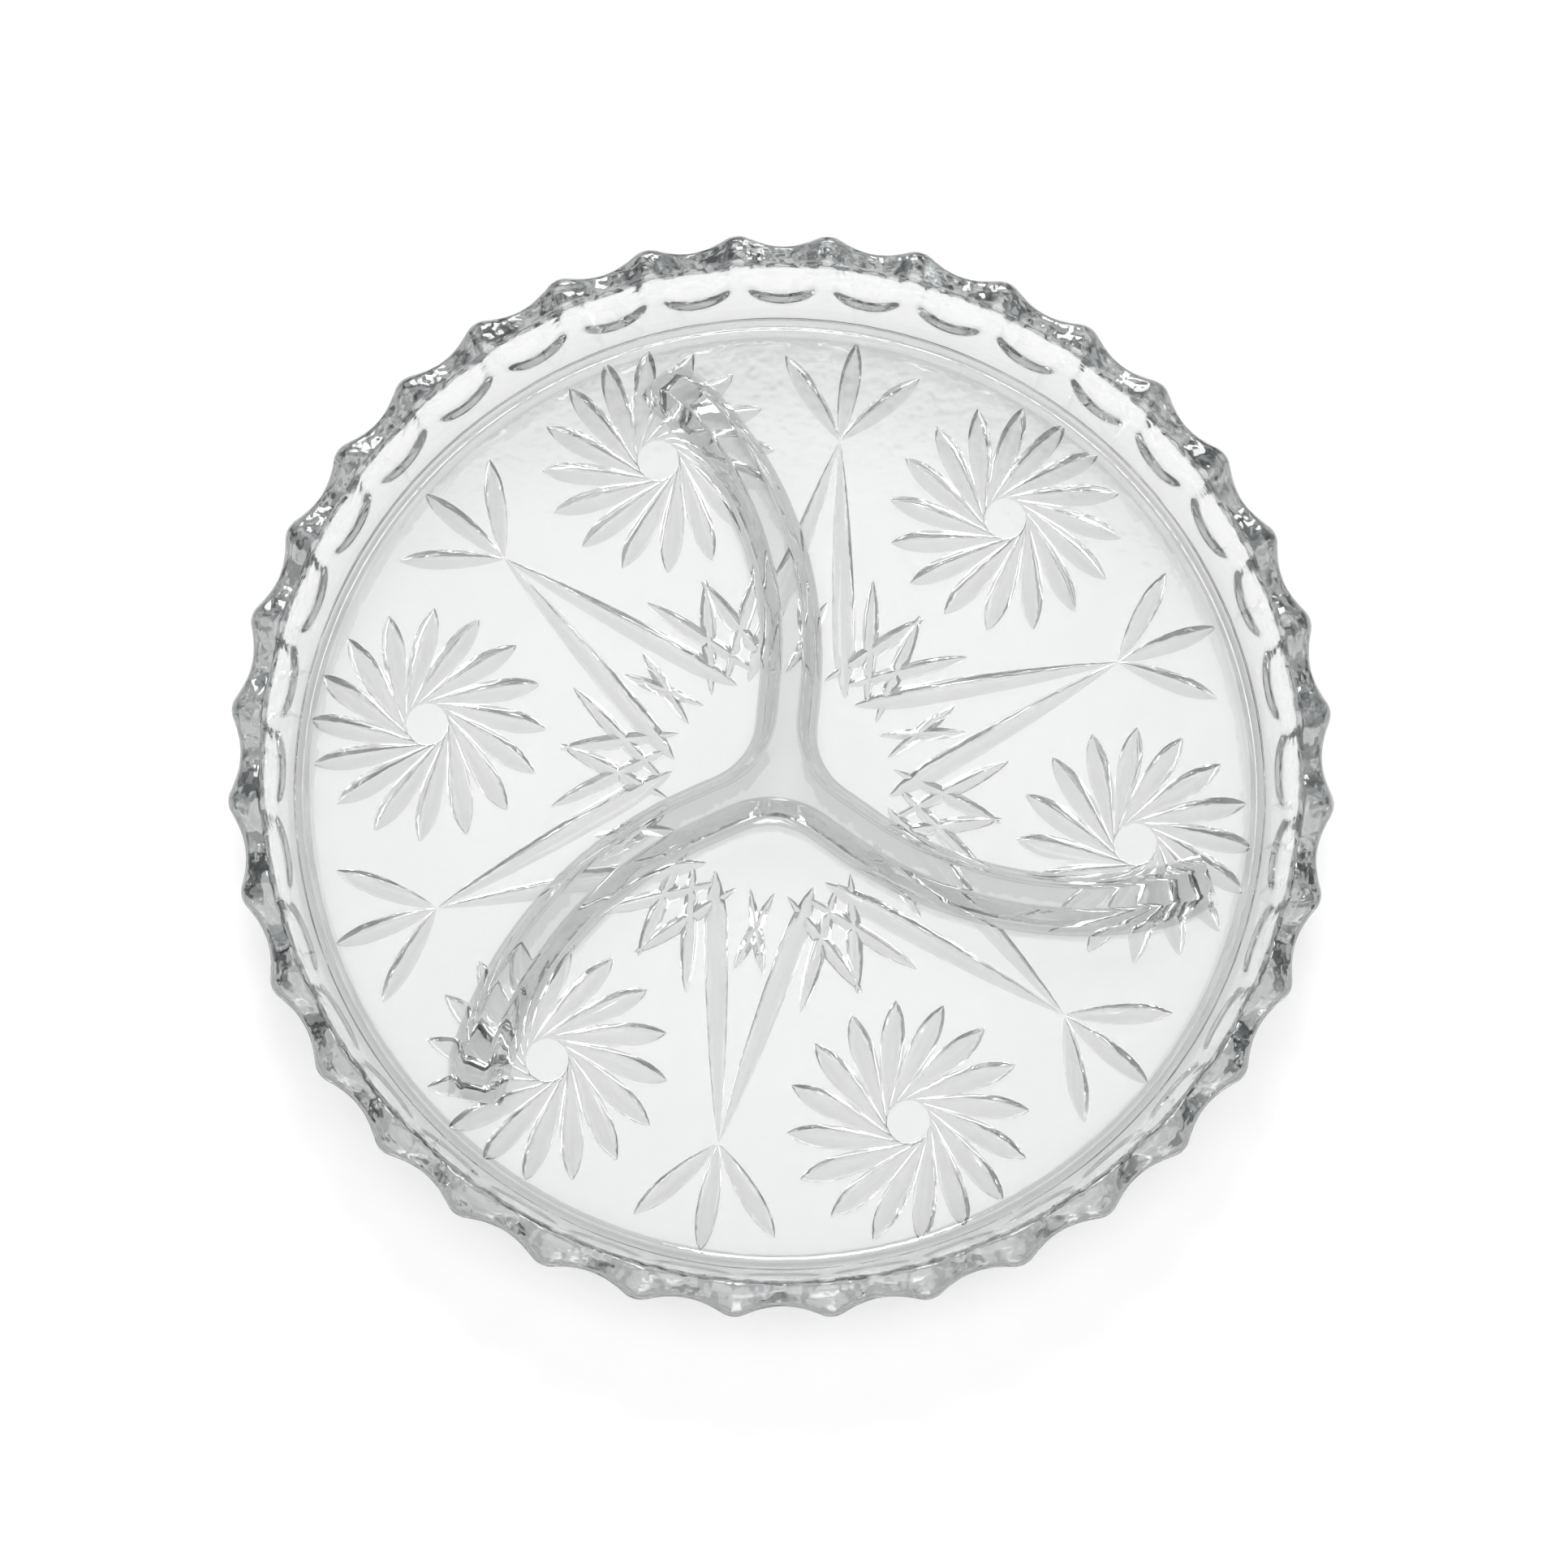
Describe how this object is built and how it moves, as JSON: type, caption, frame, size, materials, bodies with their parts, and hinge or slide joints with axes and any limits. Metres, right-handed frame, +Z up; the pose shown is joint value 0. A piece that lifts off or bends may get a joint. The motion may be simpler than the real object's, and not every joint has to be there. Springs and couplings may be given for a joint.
{
  "type": "divided relish dish",
  "caption": "Round clear glass relish dish with a scalloped rim, a low flared wall, S-curved raised dividers meeting at a hub, and a star and pinwheel pattern cut under the floor.",
  "frame": {"origin": "centre of the dish, on the table it stands on", "axes": "+Z up; +Y through a scallop tip of the rim"},
  "size_m": [0.239, 0.239, 0.034],
  "materials": {
    "lead_crystal": "gloss"
  },
  "bodies": {
    "root": {"foot_ring": "lead_crystal", "floor_plate": "lead_crystal", "wall_arc_1": "lead_crystal", "wall_arc_2": "lead_crystal", "wall_arc_3": "lead_crystal", "hub": "lead_crystal", "divider_1": "lead_crystal", "divider_2": "lead_crystal", "divider_3": "lead_crystal"}
  },
  "joints": []
}
